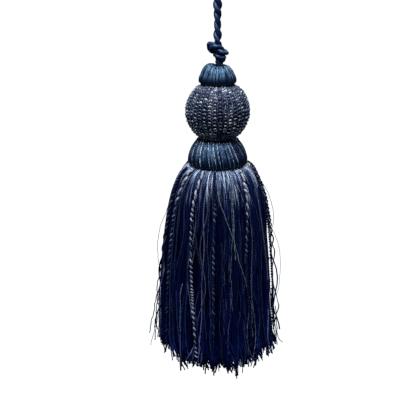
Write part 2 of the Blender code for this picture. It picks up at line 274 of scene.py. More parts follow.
class Finish:
    """A material with one Principled shader, and the nodes that feed it."""

    def __init__(self, name, specular, tint=(1.0, 1.0, 1.0), ior=1.5, **constants):
        self.material = bpy.data.materials.new(name)
        self.material.use_nodes = True
        self.tree = self.material.node_tree
        self.shader = self.tree.nodes["Principled BSDF"]
        self.feed(Specular_IOR_Level=specular, Specular_Tint=(*tint, 1.0), IOR=ior, **constants)

    def feed(self, **sockets):
        """Sets or links the shader's sockets, and gives the material."""
        for name, value in sockets.items():
            self.plug(self.shader.inputs[name.replace("_", " ")], value)
        return self.material

    def plug(self, socket, value):
        if isinstance(value, Wire):
            self.tree.links.new(value.socket, socket)
        else:
            socket.default_value = value

    def node(self, kind, settings, inputs, output=0):
        """One node: its settings first, then the values or wires of its inputs."""
        made = self.tree.nodes.new(kind)
        for name, value in settings.items():
            if name == "stops":
                self.set_stops(made.color_ramp, value)
            else:
                setattr(made, name, value)
        for name, value in inputs.items():
            self.plug(made.inputs[name], value)
        return Wire(self, made.outputs[output])

    def set_stops(self, ramp, stops):
        while len(ramp.elements) < len(stops):
            ramp.elements.new(0.5)
        for element, (position, *colour) in zip(ramp.elements, stops):
            element.position = position
            element.color = (*colour, 1.0)

    def maths(self, operation, first, second=0.0):
        """Two wires or numbers put together, or a function of one of them, such as COSINE."""
        return self.node("ShaderNodeMath", {"operation": operation}, {0: first, 1: second})

    def read(self, name, output):
        return self.node("ShaderNodeAttribute", {"attribute_name": name}, {}, output)

    def strand_tone(self):
        """A number from 0 to 1 that its strand sets, the same all round it."""
        return self.read("tone", "Fac")

    def strand_run(self):
        """Where a point is on its strand: round it as a cosine and a sine, and along it in millimetres."""
        apart = self.node("ShaderNodeSeparateXYZ", {}, {0: self.read("run", "Vector")})
        return [Wire(self, output) for output in apart.socket.node.outputs]

    def down_strand(self):
        """Millimetres down the strand from its start."""
        return self.maths("MODULO", self.strand_run()[2], NUMBER_STEP)

    def strand_number(self):
        """A whole number that is the same all along a strand, also where its tone is not."""
        return self.maths("FLOOR", self.strand_run()[2] * (1.0 / NUMBER_STEP))

    def one_ply(self, pitch):
        """Two plies twisted together: 1 along the crown of one of them, and -1 along the other."""
        x, y, along = self.strand_run()
        turn = along * (tau / pitch)
        return x * self.maths("COSINE", turn) + y * self.maths("SINE", turn)

    def scatter(self, number):
        """A number from 0 to 1 by chance for each other number."""
        return self.node("ShaderNodeTexWhiteNoise", {"noise_dimensions": "1D"}, {"W": number})

    def noise(self, place, scale, detail=2.0):
        """Soft noise over places, as fine in each direction as its scale."""
        place = self.node("ShaderNodeVectorMath", {"operation": "MULTIPLY"}, {0: place, 1: scale})
        return self.node("ShaderNodeTexNoise", {}, {"Vector": place, "Scale": 1.0, "Detail": detail})

    def fibres(self, across, along, detail=2.0):
        """Noise drawn out along a strand, as fine as those scales across and along it."""
        return self.noise(self.read("run", "Vector"), (across, across, along), detail)

    def ramp(self, value, *stops):
        """A colour that follows a number. Each stop is a place and a colour."""
        return self.node("ShaderNodeValToRGB", {"stops": stops}, {0: value})

    def between(self, value, low, high):
        """0 below low, 1 above high, and smooth from one to the other."""
        settings = {"interpolation_type": "SMOOTHSTEP"}
        return self.node("ShaderNodeMapRange", settings, {0: value, 1: low, 2: high})

    def blend(self, share, first, second, kind="MIX"):
        """Two colours mixed, or multiplied where kind is MULTIPLY."""
        settings = {"data_type": "RGBA", "blend_type": kind}
        return self.node("ShaderNodeMix", settings, {0: share, 6: first, 7: second}, 2)

    def bumped(self, height, depth, strength):
        inputs = {"Height": height, "Distance": depth, "Strength": strength}
        return self.node("ShaderNodeBump", {}, inputs)


def navy_satin():
    """Filament satin cord: fine filaments that turn round the ply, and a cool sheen."""
    finish = Finish("navy_satin", 0.8, (0.20, 0.37, 0.70), 1.7)
    filaments = finish.fibres(5.0, 0.55)
    shade = finish.ramp(
        filaments * 0.6 + finish.fibres(0.9, 0.40) * 0.4,
        (0.38, 0.0004, 0.0006, 0.0150),
        (0.50, 0.0026, 0.0056, 0.0400),
        (0.57, 0.0180, 0.0380, 0.1000),
        (0.66, 0.0900, 0.1450, 0.2400),
    )
    return finish.feed(
        Base_Color=shade,
        Roughness=0.68 - 0.40 * finish.between(filaments, 0.35, 0.65),
        Normal=finish.bumped(filaments, 0.00012, 0.7),
    )


def ruff_floss(name, tint, violet_from):
    """Floss of the ruffs: each strand its own shade and hue, streaked along its length."""
    finish = Finish(name, 0.9, tint, 1.55)
    streaks = finish.fibres(2.5, 1.3)
    shade = finish.strand_tone() * (0.50 + 0.75 * finish.between(streaks, 0.38, 0.62))
    teal = finish.ramp(
        shade,
        (0.10, 0.0002, 0.0006, 0.0090),
        (0.35, 0.0050, 0.0140, 0.0460),
        (0.58, 0.0320, 0.0720, 0.1450),
        (0.85, 0.1500, 0.2500, 0.3800),
    )
    violet = finish.ramp(
        shade,
        (0.10, 0.0003, 0.0004, 0.0090),
        (0.35, 0.0080, 0.0110, 0.0460),
        (0.58, 0.0440, 0.0580, 0.1450),
        (0.85, 0.1700, 0.2100, 0.3600),
    )
    number = finish.strand_number()
    own = number * 0.37
    patches = 0.25 - 0.25 * finish.maths("COSINE", number * (tau / NUMBERS) - 0.35)
    hue = finish.between(finish.scatter(own) * 0.6 + patches, violet_from, violet_from + 0.25)
    return finish.feed(
        Base_Color=finish.blend(hue, teal, violet),
        Roughness=0.22 + 0.24 * finish.scatter(own + 3.0),
        Normal=finish.bumped(streaks, 0.00006, 0.6),
    )


def speckled_thread():
    """Silver thread spun with navy: bright where the silver comes up, and dark where it goes under."""
    finish = Finish("speckled_thread", 0.8, (0.64, 0.80, 1.0), 1.6)
    tone = finish.strand_tone()
    silver = finish.between(finish.fibres(0.5, 1.3) + 0.08 * tone, 0.48, 0.62)
    bright = finish.ramp(
        tone,
        (0.0, 0.003, 0.006, 0.025),
        (0.2, 0.060, 0.120, 0.200),
        (0.5, 0.210, 0.345, 0.470),
        (1.0, 0.650, 0.800, 0.930),
    )
    return finish.feed(
        Base_Color=finish.blend(silver, (0.006, 0.016, 0.042, 1.0), bright),
        Metallic=silver * 0.2,
        Roughness=0.50 - 0.15 * silver,
    )


def chain_yarn():
    """The ball's yarn: a silver and a navy end twisted together."""
    finish = Finish("silver_and_navy_chain", 0.5, (0.72, 0.86, 1.0))
    tone = finish.strand_tone()
    fibres = finish.fibres(3.0, 2.2, 3.0)
    silver = finish.between(finish.one_ply(1.5) * 0.30 + fibres + tone * 0.30, 0.42, 0.86)
    cool = finish.ramp(
        tone,
        (0.0, 0.035, 0.055, 0.100),
        (0.5, 0.122, 0.153, 0.230),
        (0.9, 0.278, 0.308, 0.380),
        (1.0, 0.520, 0.560, 0.600),
    )
    deep = finish.ramp(fibres, (0.3, 0.003, 0.0054, 0.034), (0.7, 0.018, 0.028, 0.090))
    return finish.feed(
        Base_Color=finish.blend(silver, deep, cool),
        Metallic=silver * 0.3,
        Roughness=0.52 - 0.16 * silver,
        Normal=finish.bumped(fibres, 0.00012, 0.8),
    )


def skirt_thread(name, shine):
    """Cut thread: near-black navy two-ply, with a painted sheen that pales it for that many millimetres from
    its start, and painted shade in the grooves between its plies.
    """
    finish = Finish(name, 0.6, (0.18, 0.34, 1.0), Coat_IOR=2.0, Coat_Roughness=0.36)
    tone = finish.strand_tone()
    own = finish.scatter(tone)
    down = finish.down_strand()
    crowns = finish.between(finish.maths("ABSOLUTE", finish.one_ply(2.62)), 0.05, 0.60)
    body = finish.ramp(
        tone,
        (0.00, 0.0001, 0.0002, 0.0150),
        (0.40, 0.0005, 0.0012, 0.0360),
        (0.68, 0.0022, 0.0060, 0.0700),
        (0.82, 0.0090, 0.0300, 0.0900),
        (0.92, 0.0320, 0.0400, 0.1100),
        (1.00, 0.1150, 0.1400, 0.2200),
    )
    sheen = finish.ramp(
        own,
        (0.00, 0.018, 0.032, 0.082),
        (0.30, 0.125, 0.195, 0.328),
        (0.65, 0.350, 0.485, 0.685),
        (1.00, 0.590, 0.730, 0.930),
    )
    # Painted sheen: the pale sheen colour over the shoulder, fading out by the given millimetres at a point
    # that differs by thread; the gloss coat is kept to that stretch too.
    painted_sheen_zone = 1.0 - finish.between(down + 19.0 * finish.scatter(tone + 5.0), shine - 9.0, shine)
    streaked = finish.ramp(finish.fibres(1.2, 0.45), (0.36, 0.14, 0.14, 0.14), (0.64, 1.0, 1.0, 1.0))
    # Painted light: lighter and bluer down towards the hem, making up for the weaker light there.
    deeper = finish.ramp(down * 0.01, (0.45, 1.0, 1.0, 1.0), (0.95, 1.5, 1.5, 2.0))
    # Painted light and shade: darker in the grooves between the two plies, lighter on their crowns.
    painted_light_and_shade = finish.blend(crowns, (0.24, 0.22, 0.30, 1.0), (1.22, 1.18, 1.12, 1.0))
    colour = finish.blend(painted_sheen_zone, body, sheen)
    for share, shade in ((0.8, streaked), (1.0, deeper), (1.0, painted_light_and_shade)):
        colour = finish.blend(share, colour, shade, "MULTIPLY")
    return finish.feed(
        Base_Color=colour,
        Roughness=0.26 + 0.26 * finish.scatter(tone + 7.0) + 0.12 * (1.0 - crowns),
        Coat_Weight=finish.between(own, 0.25, 0.95) * crowns * painted_sheen_zone,
        Normal=finish.bumped(crowns, 0.00005, 0.6),
    )


def navy_ply():
    """The dark ply of the fringe cords."""
    finish = Finish("navy_ply", 0.12, (0.20, 0.36, 1.0))
    filaments = finish.fibres(3.5, 0.9, 3.0)
    return finish.feed(
        Base_Color=finish.ramp(filaments, (0.30, 0.0004, 0.0008, 0.012), (0.70, 0.0035, 0.0075, 0.042)),
        Roughness=0.50 + 0.2 * filaments,
        Normal=finish.bumped(filaments, 0.00008, 0.6),
    )


def pale_thread():
    """The few grey-green and lilac threads that show singly over the navy."""
    finish = Finish("pale_thread", 0.5, (0.50, 0.66, 1.0))
    streaks = finish.fibres(0.8, 0.6)
    shade = finish.ramp(
        finish.strand_tone(),
        (0.0, 0.008, 0.012, 0.045),
        (0.5, 0.024, 0.036, 0.085),
        (0.8, 0.066, 0.086, 0.160),
        (1.0, 0.165, 0.222, 0.290),
    )
    streaked = finish.ramp(streaks, (0.40, 0.08, 0.08, 0.08), (0.60, 1.0, 1.0, 1.0))
    return finish.feed(
        Base_Color=finish.blend(0.8, shade, streaked, "MULTIPLY"),
        Roughness=0.36 + 0.2 * streaks,
    )


def silver_ply():
    """The bright ply of the fringe cords: silver filament, darker and duller where its tone is low; that tone
    is in part painted light and shade.
    """
    finish = Finish("silver_ply", 0.3, (0.40, 0.56, 1.0))
    tone = finish.strand_tone()
    filaments = finish.fibres(3.5, 1.1, 3.0)
    silver = finish.ramp(
        filaments,
        (0.28, 0.08, 0.09, 0.15),
        (0.50, 0.26, 0.28, 0.36),
        (0.72, 0.62, 0.64, 0.70),
    )
    # Painted light and shade: a low tone darkens the silver nearly to black, and the roughness below dulls it
    # there too.
    painted_light_and_shade = finish.ramp(
        tone,
        (0.00, 0.002, 0.004, 0.04),
        (0.15, 0.012, 0.022, 0.09),
        (0.50, 0.300, 0.340, 0.43),
        (1.00, 1.000, 1.000, 1.00),
    )
    return finish.feed(
        Base_Color=finish.blend(1.0, silver, painted_light_and_shade, "MULTIPLY"),
        Metallic=0.2 * tone,
        Roughness=0.90 - 0.45 * tone,
        Normal=finish.bumped(filaments, 0.00008, 0.6),
    )


def packing():
    """Thread packed inside the skirt and the ruffs and under the ball's stitches: near-black, painted shade
    where little light gets.
    """
    finish = Finish("navy_packing", 0.2, Roughness=0.7)
    place = finish.node("ShaderNodeTexCoord", {}, {}, "Object")
    ends = finish.noise(place, (2500.0, 2500.0, 120.0))
    return finish.feed(
        Base_Color=finish.ramp(ends, (0.35, 0.0004, 0.0006, 0.003), (0.70, 0.0015, 0.0028, 0.012)),
        Normal=finish.bumped(ends, 0.0003, 0.8),
    )


def floor_paint():
    finish = Finish("pale_floor", 0.1, Roughness=0.85)
    place = finish.node("ShaderNodeTexCoord", {}, {}, "Object")
    mottle = finish.noise(place, (3.0, 3.0, 3.0))
    return finish.feed(Base_Color=finish.ramp(mottle, (0.3, 0.90, 0.90, 0.90), (0.7, 0.93, 0.93, 0.93)))


# ---- lines and strands

# Lines of strands: half their width and thickness, sides round them, the way across, tone and finish number.
Strands = namedtuple("Strands", "lines wide thick sides across tone finish", defaults=(0,))


def at(azimuth, radius, height):
    """Points in the row frame from azimuth in degrees, radius and height in millimetres."""
    turn, radius, height = np.broadcast_arrays(np.radians(azimuth), radius, height)
    place = np.stack([radius * np.sin(turn), -radius * np.cos(turn), height], axis=-1)
    return BALL_MIDDLE + place * MM


def round_axis(azimuth):
    """The level direction square to the radius at each azimuth in degrees."""
    turn = np.radians(azimuth)
    return np.stack([np.cos(turn), np.sin(turn), np.zeros_like(turn)], axis=-1)


def facing(azimuth):
    """Azimuths brought between -180 and 180 degrees."""
    return (azimuth + 180.0) % 360.0 - 180.0


def unit(vectors):
    return vectors / np.maximum(np.linalg.norm(vectors, axis=-1, keepdims=True), 1e-12)


def rise(value, start, length):
    """0 up to start, 1 from that far past it, and straight from one to the other."""
    return np.clip((value - start) / length, 0.0, 1.0)


def by_height(table, height):
    """The second column of a table that goes down by heights, at other heights."""
    table = np.asarray(table, float)
    return np.interp(-height, -table[:, 0], table[:, 1])


def smooth_line(points, step):
    """Points about step apart along a Catmull-Rom curve through the points."""
    points = np.asarray(points, float)
    padded = np.vstack([2 * points[0] - points[1], points, 2 * points[-1] - points[-2]])
    line = []
    for a, b, c, d in zip(padded, padded[1:], padded[2:], padded[3:]):
        count = max(1, round(float(np.linalg.norm(c - b)) / step))
        t = (np.arange(count) / count)[:, None]
        cubic = (3 * b - a - 3 * c + d) * t ** 3
        square = (2 * a - 5 * b + 4 * c - d) * t ** 2
        line.append(0.5 * (2 * b + (c - a) * t + square + cubic))
    return np.vstack([*line, points[-1:]])


def lengths_along(line):
    steps = np.linalg.norm(np.diff(line, axis=0), axis=1)
    return np.concatenate([[0.0], np.cumsum(steps)])


def evenly(line, step):
    """The line again, with points the same distance apart, about step."""
    along = lengths_along(line)
    stops = np.linspace(0.0, along[-1], max(2, round(along[-1] / step) + 1))
    return np.stack([np.interp(stops, along, column) for column in line.T], axis=1)


def outline_at(outline, along, place):
    """Height and radius at places along an outline, and the slopes of both there."""
    columns = [*outline.T, *unit(np.gradient(outline, axis=0)).T]
    return [np.interp(place, along, column) for column in columns]


def carried_side(line, side):
    """One direction carried along a line without turning about it."""
    along = unit(np.gradient(line, axis=0))
    sides = []
    for direction in along:
        side = side - direction * np.dot(side, direction)
        side = side / np.linalg.norm(side)
        sides.append(side)
    return along, np.array(sides)


def twisted(line, side, turns, reach):
    """A ply's line round a cord's line, and the way out to it, from its angle at each point."""
    along, first = carried_side(line, np.array(side, float))
    second = np.cross(along, first)
    out = first * np.cos(turns)[:, None] + second * np.sin(turns)[:, None]
    return line + out * np.asarray(reach).reshape(-1, 1) * MM, out


def swept(strands):
    """Corners, faces and strand values of closed tubes along the strands."""
    count, stations = strands.lines.shape[:2]
    along = unit(np.gradient(strands.lines, axis=1))
    across = np.broadcast_to(strands.across, strands.lines.shape)
    across = unit(across - along * np.sum(across * along, axis=-1, keepdims=True))
    out = np.cross(along, across)
    turn = tau * np.arange(strands.sides) / strands.sides
    wide, thick = (np.broadcast_to(size, (count, stations)) for size in (strands.wide, strands.thick))
    wide = (wide[..., None] * np.cos(turn) * MM)[..., None]
    thick = (thick[..., None] * np.sin(turn) * MM)[..., None]
    corners = strands.lines[:, :, None] + across[:, :, None] * wide + out[:, :, None] * thick
    steps = np.linalg.norm(np.diff(strands.lines, axis=1), axis=-1) / MM
    travel = np.concatenate([np.zeros((count, 1)), np.cumsum(steps, axis=1)], axis=1)
    run = np.empty((count, stations, strands.sides, 3))
    run[..., 0] = np.cos(turn)
    run[..., 1] = np.sin(turn)
    run[..., 2] = travel[..., None] + NUMBER_STEP * (np.arange(count) % NUMBERS)[:, None, None]
    tone = np.broadcast_to(np.reshape(strands.tone, (count, -1, 1)), run.shape[:3])
    number = np.arange(count * stations * strands.sides).reshape(count, stations, strands.sides)
    after = np.roll(number, -1, axis=2)
    quads = np.stack([number[:, :-1], after[:, :-1], after[:, 1:], number[:, 1:]], axis=-1)
    ends = np.concatenate([number[:, 0, ::-1], number[:, -1]])
    return corners.reshape(-1, 3), quads.reshape(-1, 4), ends, run.reshape(-1, 3), tone.reshape(-1)


def strand_mesh(name, bundles):
    """One mesh of closed strands, with the values that their finishes read."""
    corners, runs, tones, loops, starts, slots, smooth = ([] for part in range(7))
    first_corner = 0
    first_loop = 0
    for strands in bundles:
        places, quads, ends, run, tone = swept(strands)
        for faces, rounded in ((quads, True), (ends, False)):
            loops.append(faces.reshape(-1) + first_corner)
            starts.append(first_loop + np.arange(len(faces)) * faces.shape[1])
            slots.append(np.full(len(faces), strands.finish))
            smooth.append(np.full(len(faces), rounded))
            first_loop += faces.size
        corners.append(places.ravel())
        runs.append(run.ravel())
        tones.append(tone)
        first_corner += len(places)
    mesh = bpy.data.meshes.new(name)
    mesh.vertices.add(first_corner)
    mesh.loops.add(first_loop)
    mesh.polygons.add(sum(len(part) for part in starts))
    for target, field, values, kind in (
        (mesh.vertices, "co", corners, np.float32),
        (mesh.loops, "vertex_index", loops, np.int32),
        (mesh.polygons, "loop_start", starts, np.int32),
        (mesh.polygons, "material_index", slots, np.int32),
        (mesh.polygons, "use_smooth", smooth, bool),
    ):
        target.foreach_set(field, np.concatenate(values).astype(kind))
    mesh.update(calc_edges=True)
    read = (("run", "FLOAT_VECTOR", "vector", runs), ("tone", "FLOAT", "value", tones))
    for attribute_name, kind, field, values in read:
        attribute = mesh.attributes.new(attribute_name, kind, "POINT")
        attribute.data.foreach_set(field, np.concatenate(values).astype(np.float32))
    return mesh


def turned_mesh(name, outline, steps, wobble):
    """A closed turned form from heights and radii, axis to axis, its surface a little uneven."""
    turn = 360.0 * np.arange(steps) / steps
    corners = [at(0.0, 0.0, outline[0][0])]
    for number, (height, radius) in enumerate(outline[1:-1]):
        uneven = wobble * np.sin(np.radians(turn) * 9 + number * 0.7)
        corners.extend(at(turn, radius + uneven, height))
    corners.append(at(0.0, 0.0, outline[-1][0]))
    end = len(corners) - 1
    faces = []
    for step in range(steps):
        after = (step + 1) % steps
        faces.append((0, 1 + step, 1 + after))
        for ring in range(1, end - steps, steps):
            faces.append((ring + step, ring + steps + step, ring + steps + after, ring + after))
        faces.append((end - steps + after, end - steps + step, end))
    mesh = bpy.data.meshes.new(name)
    mesh.from_pydata([tuple(corner) for corner in corners], [], faces)
    mesh.shade_smooth()
    return mesh


def add_object(data):
    """An object in the scene, with the name of its data."""
    made = bpy.data.objects.new(data.name, data)
    bpy.context.scene.collection.objects.link(made)
    return made


def add_piece(mesh, finishes, slot, *nodes):
    """A piece on the tassel's one body, with its finishes and the solids it stands for."""
    piece = add_object(mesh)
    for finish in finishes:
        mesh.materials.append(finish)
    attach(piece, "root")
    if nodes:
        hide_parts(*nodes)
    return piece


# ---- camera, floor and light

def make_camera():
    """In front of the tassel, looking a little down on it."""
    data = bpy.data.cameras.new("camera")
    data.sensor_width = 36.0
    data.lens = data.sensor_width * CAMERA_DISTANCE / (VIEW_WIDTH * MM)
    data.clip_end = 60.0
    data.shift_x = CAMERA_SHIFT
    camera = add_object(data)
    tilt = radians(CAMERA_TILT)
    aim = Vector(BALL_MIDDLE) + Vector((0.0, 0.0, CAMERA_AIM)) * MM
    camera.location = aim + CAMERA_DISTANCE * Vector((0.0, -cos(tilt), sin(tilt)))
    camera.rotation_euler = (pi / 2 - tilt, 0.0, 0.0)
    bpy.context.scene.camera = camera


def make_floor():
    """A wide pale floor well below the hanging tassel."""
    mesh = bpy.data.meshes.new("floor")
    rim = [(FLOOR_R * cos(tau * i / 64), FLOOR_R * sin(tau * i / 64), 0.0) for i in range(64)]
    mesh.from_pydata(rim, [], [tuple(range(64))])
    mesh.materials.append(floor_paint())
    floor = add_object(mesh)
    floor.location = (0.0, 0.0, FLOOR_HEIGHT)
    floor.visible_diffuse = False
    floor.visible_glossy = False
    return floor


def aimed_light(name, kind, place, aim, strength):
    data = bpy.data.lights.new(name, kind)
    data.energy = strength
    light = add_object(data)
    light.location = place
    light.rotation_euler = (Vector(aim) - Vector(place)).to_track_quat("-Z", "Y").to_euler()
    return light


def make_lights(floor):
    """A soft box overhead, a weak fill in front, another behind, and a light of its own for the floor."""
    floor_only = bpy.data.collections.new("floor_only")
    all_but_floor = bpy.data.collections.new("all_but_floor")
    for group in (floor_only, all_but_floor):
        group.objects.link(floor)
    all_but_floor.collection_objects[0].light_linking.link_state = "EXCLUDE"
    middle = Vector(BALL_MIDDLE) + Vector((0.0, 0.0, -0.03))
    for name, place, width, height, watts in SOFT_BOXES:
        box = aimed_light(name, "AREA", middle + Vector(place), middle, watts)
        box.data.shape = "RECTANGLE"
        box.data.size = width
        box.data.size_y = height
        box.light_linking.receiver_collection = all_but_floor
    sun = aimed_light("floor_light", "SUN", (0.0, 0.0, 2.0), (0.0, 0.0, 0.0), FLOOR_SUN)
    sun.data.angle = radians(60.0)
    sun.light_linking.receiver_collection = floor_only


def make_world():
    """A pale room: white where it is looked at, and dim where it lights the tassel."""
    world = bpy.data.worlds.new("room")
    bpy.context.scene.world = world
    world.use_nodes = True
    tree = world.node_tree
    tree.nodes.clear()
    path = tree.nodes.new("ShaderNodeLightPath")
    mix = tree.nodes.new("ShaderNodeMixShader")
    output = tree.nodes.new("ShaderNodeOutputWorld")
    tree.links.new(path.outputs["Is Camera Ray"], mix.inputs["Fac"])
    tree.links.new(mix.outputs["Shader"], output.inputs["Surface"])
    for number, colour, strength in ((1, (0.56, 0.74, 1.0, 1.0), 0.092), (2, (1.0, 1.0, 1.0, 1.0), 1.0)):
        light = tree.nodes.new("ShaderNodeBackground")
        light.inputs["Color"].default_value = colour
        light.inputs["Strength"].default_value = strength
        tree.links.new(light.outputs["Background"], mix.inputs[number])


# ---- cords

def make_hanging_cord(satin):
    """The two satin legs of the loop, twisted together, down through the knot to the top ruff."""
    top = CORD_TOP + GAP / 2
    straight = smooth_line([(0.0, 0.0, top), (0.0, 0.0, 52.0), (0.0, 0.0, KNOT_TOP + GAP)], 4.0)
    knot = np.array(KNOT_ROUTE) + np.array((0.0, 0.0, KNOT_MIDDLE))
    route = np.vstack([straight[:-1], knot])
    line = evenly(BALL_MIDDLE + smooth_line(route, 0.2) * MM, 0.35 * MM)
    travel = lengths_along(line) / MM
    stations = [top - height for height in HALF_TURNS]
    turns = np.interp(travel, stations, pi * np.arange(len(HALF_TURNS)))
    turns += np.clip(travel - stations[-1], 0.0, None) * pi / KNOT_HALF_TURN
    tight = rise(travel, CORD_TOP - KNOT_TOP, 3.0)
    full = by_height(CORD_FULLNESS, CORD_TOP - travel)
    lumpy = 1.0 + tight * (0.09 * np.sin(travel / 0.55) + 0.07 * np.sin(travel / 0.31 + 1.0))
    reach = (0.82 + 0.10 * tight) * full
    full *= np.interp(travel[-1] - travel, *END_SWELL)
    half = (1.16 - 0.16 * tight) * full * lumpy
    plies = []
    for number in range(2):
        ply, out = twisted(line, (1.0, 0.0, 0.0), -turns + pi * number, reach)
        plies.append(Strands(ply[None], half, half, 20, out, 0.4 + 0.2 * number))
    piece = add_piece(strand_mesh("hanging_cord_plies", plies), [satin], "cord_satin", "hanging_cord", "knot")


def make_hanging_loop(satin):
    """The eye that the tassel hangs by: one satin cord, up, over and down again."""
    leg = [(x, CORD_TOP + GAP + above) for x, above in LOOP_LEG]
    arch_middle = LOOP_TOP + PLY_D / 2 - LOOP_ARCH_R
    turns = [pi * number / 6 for number in range(7)]
    arch = [(LOOP_ARCH_R * cos(turn), arch_middle + LOOP_ARCH_R * sin(turn)) for turn in turns]
    route = [*leg, *arch, *[(-x, z) for x, z in reversed(leg)]]
    route = smooth_line([(x, 0.0, z) for x, z in route], 0.3)
    line = evenly(BALL_MIDDLE + route * MM, 0.4 * MM)
    side = carried_side(line, np.array((0.0, 1.0, 0.0)))[1]
    cord = Strands(line[None], PLY_D / 2, PLY_D / 2, 20, side, 0.5)
    piece = add_piece(strand_mesh("hanging_loop_cord", [cord]), [satin], "cord_satin", "hanging_loop")


def fringe_cord_profile():
    """Heights and radii that a fringe cord's middle follows, its own radius off the crests."""
    stand_off = FRINGE_CORD_D / 2 + CORD_CLEARANCE
    crests = np.array([*CRESTS, (TUFT_TIP, HEM_R)])
    profile = []
    for before, here, after in zip(crests, crests[1:], crests[2:]):
        along = unit(unit(here - before) + unit(after - here))
        profile.append(here + np.array((along[1], -along[0])) * stand_off)
    return np.array([*profile, crests[-1] + np.array((0.0, stand_off))])


def fringe_cord_route(cord):
    """Points in the row frame along one cord, from under the neck ruff's edge to its cut end."""
    profile = fringe_cord_profile()
    stops = np.array([height for height in profile[:, 0] if height > cord.end + 3.0] + [cord.end])
    drift = smooth_line(list(zip(CORD_HEIGHTS, (cord.start, cord.shoulder, cord.middle, cord.low))), 2.0)
    return at(by_height(drift, stops), by_height(profile, stops), stops)


def make_fringe_cords(finishes):
    """The silver and navy twisted cords that hang over the skirt."""
    for number, cord in enumerate(FRINGE_CORDS, 1):
        chance = np.random.default_rng(100 + number)
        line = evenly(smooth_line(fringe_cord_route(cord), 0.4 * MM), 0.27 * MM)
        travel = lengths_along(line) / MM
        share = travel / travel[-1]
        slack = cord.loose * rise(share, 0.34, 0.30)
        ripple = np.sin(travel / 6.1 + number) + 0.7 * np.sin(travel / 2.3 + 2 * number)
        shoulder = cord.bright * (1.0 - rise(travel, 14.0, 14.0))
        full = shoulder + 1.1 * cord.bright * cord.hem * np.exp(-((share - 0.68) / 0.16) ** 2)
        pitch = (3.2 + 0.75 * ripple) * (1.0 + 9.0 * slack)
        pitch *= 1.0 + 0.5 * shoulder - 0.38 * (full - shoulder)
        turns = np.cumsum(np.gradient(travel) / pitch) * tau * cord.lay + chance.uniform(0, tau)
        sway = 0.10 * np.sin(travel / 1.9 + number) + 0.06 * np.sin(travel / 0.8)
        apart = 0.26 * rise(share, 0.95, 0.05) + 0.95 * slack
        uneven = 1.0 + 0.30 * np.sin(travel / 2.3 + number) * np.sin(travel / 5.1) - 0.20 * share
        silver, silver_out = twisted(line, (0.0, 1.0, 0.3), turns, 0.34 + sway + apart - 0.17 * full)
        navy, navy_out = twisted(line, (0.0, 1.0, 0.3), turns + pi, 0.40 + 0.5 * sway + apart + 0.12 * full)
        # The silver's tone at three heights, in part painted light and shade, with random patches.
        bright = np.interp(share, (0.08, 0.30, 0.60), (cord.bright, cord.waist, cord.hem))
        patchy = np.interp(travel, np.arange(0.0, 130.0, 3.4), chance.uniform(0.15, 1.25, 39))
        bright = bright * (full + (1.0 - full) * patchy)
        stout = 0.38 * uneven + 0.30 * full
        slim = 0.38 - 0.14 * full
        plies = [
            Strands(silver[None], stout, 0.9 * stout, 8, silver_out, bright, 0),
            Strands(navy[None], slim, 0.9 * slim, 7, navy_out, 0.35, 1),
        ]
        name = f"fringe_cord_{number:02d}"
        piece = add_piece(strand_mesh(f"{name}_plies", plies), finishes, "silver_twist", name)


# ---- ruffs

def ruff_at(outline, share):
    """Height and radius at shares of the length of a ruff's outline, and the slopes of both there."""
    line = evenly(smooth_line(outline, 0.25), 0.1)
    along = lengths_along(line)
    return outline_at(line, along / along[-1], share)


def wound_strands(outline, count, seed, slant, lift, half, bunches, bunched, shaded, least=0.0, hump=0.0):
    """Strands of floss down a ruff's outline, in bunches, each with its own drift."""
    chance = np.random.default_rng(seed)
    share = np.linspace(0.0, 1.0, 24)
    height, radius, down, out = ruff_at(outline, share)
    start = 360.0 * (np.arange(count) + chance.uniform(-0.35, 0.35, count)) / count
    round_turn = np.radians(start)
    bunch = 0.5 + 0.5 * np.sin(bunches * round_turn + 2.2 * np.sin(5.0 * round_turn + 1.0))
    drift = slant + 2.5 * np.sin(3.0 * round_turn) + chance.normal(0.0, 1.2, count)
    azimuth = start[:, None] + drift[:, None] * (share - 0.5)
    slim = radius / radius.max()
    under = 0.45 * (np.arange(count) % 2)[:, None] * (1.0 - slim)
    swell = 0.30 * bunch[:, None] * np.sin(pi * share) ** 0.6
    depth = lift + chance.uniform(-0.10, 0.10, (count, 1)) - under + swell
    left = np.clip(-np.sin(np.radians(azimuth)), 0.0, 1.0) * np.clip(1.0 - share / 0.6, 0.0, 1.0) ** 0.7
    lines = at(azimuth, radius - down * depth, height + out * depth + hump * left)
    wide = np.clip(slim, 0.5, 1.0) * half
    tone = bunched * bunch ** 1.5 + (1.0 - bunched) * chance.random(count) ** 1.5
    # Painted shade: each strand darker near its start and towards the ruff's lower edge, where shade falls.
    painted_edge_shade = rise(-share, -0.13, 0.10) + rise(share, shaded, 0.28)
    tone = np.clip((least + (1.0 - least) * tone[:, None]) * (1.0 - 0.94 * painted_edge_shade), 0.0, 1.0)
    return Strands(lines, wide, wide * 0.8, 6, round_axis(azimuth), tone)


def speckled_strands(outline, azimuths, seed):
    """Silver speckled threads down a ruff, over its floss."""
    chance = np.random.default_rng(seed)
    share = np.linspace(0.04, 0.97, 40)
    height, radius, down, out = ruff_at(outline, share)
    turn = np.array(azimuths, float)[:, None]
    azimuth = turn + (12.0 + chance.normal(0.0, 2.5, turn.shape)) * (share - 0.5)
    depth = 0.02 + chance.uniform(-0.05, 0.05, turn.shape)
    lines = at(azimuth, radius - down * depth, height + out * depth)
    wide = chance.uniform(0.17, 0.25, turn.shape)
    # Painted shade: the threads darken towards the ruff's lower edge.
    tone = chance.uniform(0.2, 1.0, turn.shape) * (1.0 - 0.95 * rise(share, 0.60, 0.25))
    return Strands(lines, wide, wide, 6, round_axis(azimuth), tone, 1)


